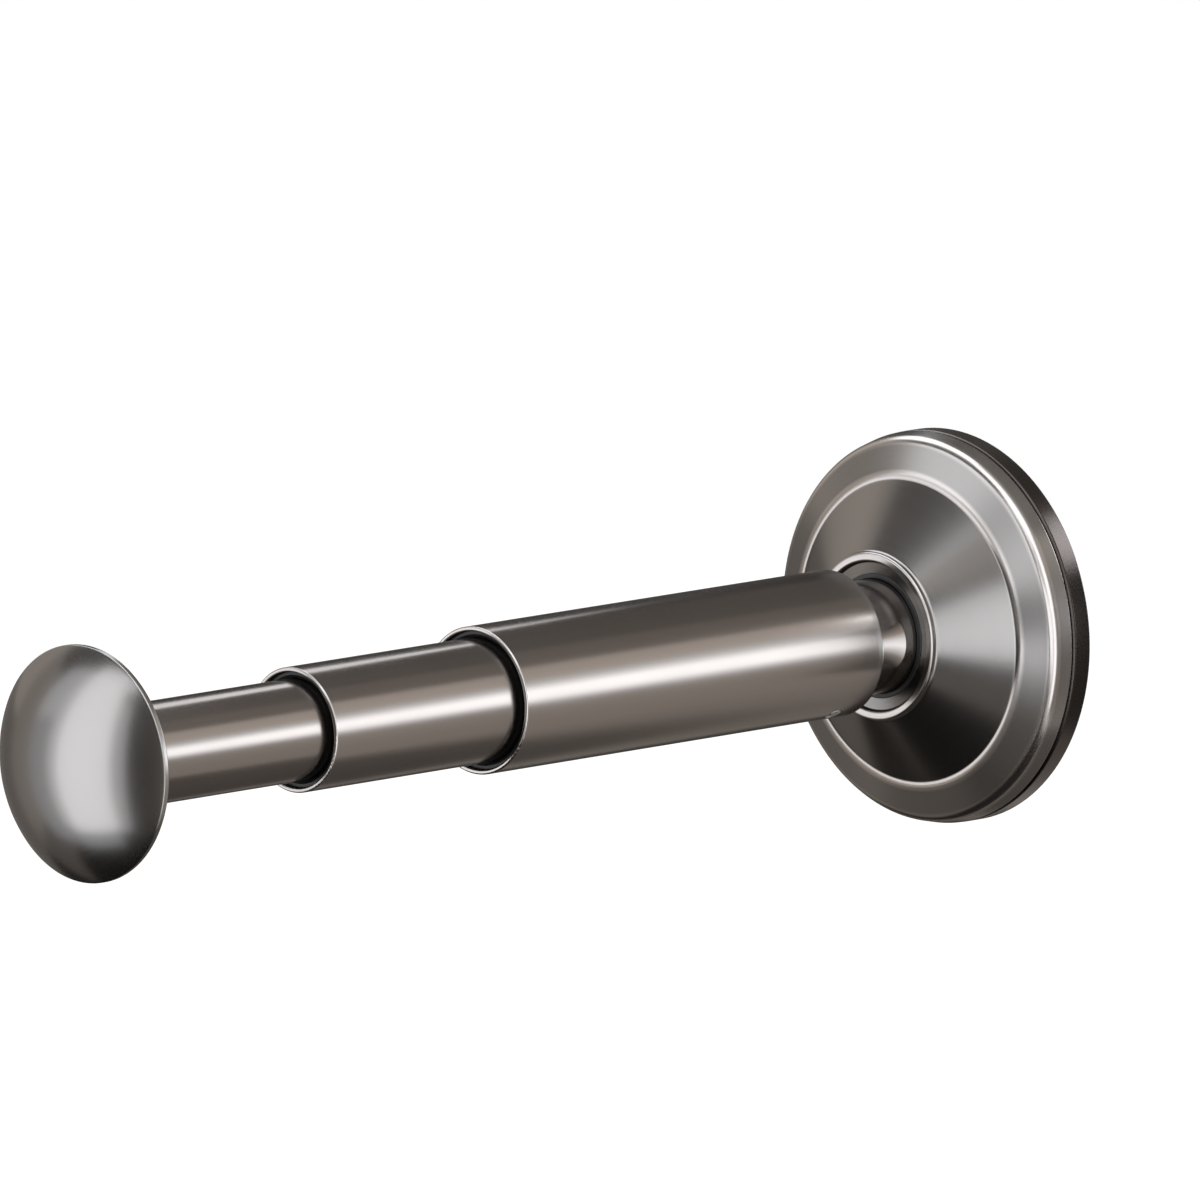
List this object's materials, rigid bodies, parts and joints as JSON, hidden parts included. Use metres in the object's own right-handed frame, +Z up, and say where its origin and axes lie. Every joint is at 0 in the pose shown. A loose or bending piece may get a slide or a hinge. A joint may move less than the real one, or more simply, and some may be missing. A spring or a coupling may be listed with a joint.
{
  "type": "closet valet rod",
  "caption": "Wall-held telescopic rod with a round flange, nested round tubes and a domed end knob, for hanging clothes hangers.",
  "frame": {"origin": "centre of the wall plate's back face, on the wall", "axes": "+Y into the wall, so the rod stands out along -Y; +Z up; +X to the right as seen from the front"},
  "size_m": [0.086, 0.2708, 0.086],
  "materials": {
    "satin_gunmetal": "satin black-nickel plating on drawn steel tube",
    "spun_gunmetal": "satin black-nickel plating on spun steel",
    "cast_gunmetal": "dark plating on a zinc casting",
    "turned_steel": "bare turned steel",
    "zinc_screw": "zinc-plated fastener",
    "black_nylon": "moulded black nylon",
    "black_rubber": "matt rubber",
    "grey_foam": "closed-cell foam"
  },
  "bodies": {
    "wall_fixing": {"wall_plate": "cast_gunmetal", "wall_gasket": "grey_foam", "cover_o_ring": "black_rubber", "tube_socket": "turned_steel", "socket_screws": "zinc_screw", "set_screws": "zinc_screw", "neck_tube": "satin_gunmetal", "tube_reducer": "spun_gunmetal", "reducer_screws": "zinc_screw", "rear_bumper": "black_rubber", "outer_tube": "satin_gunmetal", "outer_mouth_bush": "black_nylon"},
    "cover": {"flange_cover": "spun_gunmetal", "cover_grommet": "black_nylon"},
    "middle_carriage": {"middle_friction_ring": "black_nylon"},
    "middle_stage": {"middle_tube": "satin_gunmetal", "middle_rear_guide": "black_nylon", "middle_guide_pins": "zinc_screw", "middle_mouth_bush": "black_nylon"},
    "inner_carriage": {"inner_friction_ring": "black_nylon"},
    "inner_stage": {"inner_tube": "satin_gunmetal", "inner_rear_guide": "black_nylon", "inner_guide_pins": "zinc_screw", "end_plug": "turned_steel", "plug_pin": "zinc_screw", "knob_washer": "black_nylon", "knob_stud": "zinc_screw", "knob_back": "spun_gunmetal", "knob_dome": "spun_gunmetal"}
  },
  "joints": [
    {"name": "cover_slide", "type": "slide", "parent": "wall_fixing", "child": "cover", "axis": [0, -1, 0], "range_m": [0, 0.0127]},
    {"name": "middle_slide", "type": "slide", "parent": "wall_fixing", "child": "middle_carriage", "axis": [0, -1, 0], "range_m": [-0.051, 0.0195]},
    {"name": "middle_turn", "type": "hinge", "parent": "middle_carriage", "child": "middle_stage", "pos_m": [0, -0.1075, 0], "axis": [0, -1, 0], "continuous": true},
    {"name": "inner_slide", "type": "slide", "parent": "middle_stage", "child": "inner_carriage", "axis": [0, -1, 0], "range_m": [-0.0565, 0.015]},
    {"name": "inner_turn", "type": "hinge", "parent": "inner_carriage", "child": "inner_stage", "pos_m": [0, -0.166, 0], "axis": [0, -1, 0], "continuous": true}
  ]
}
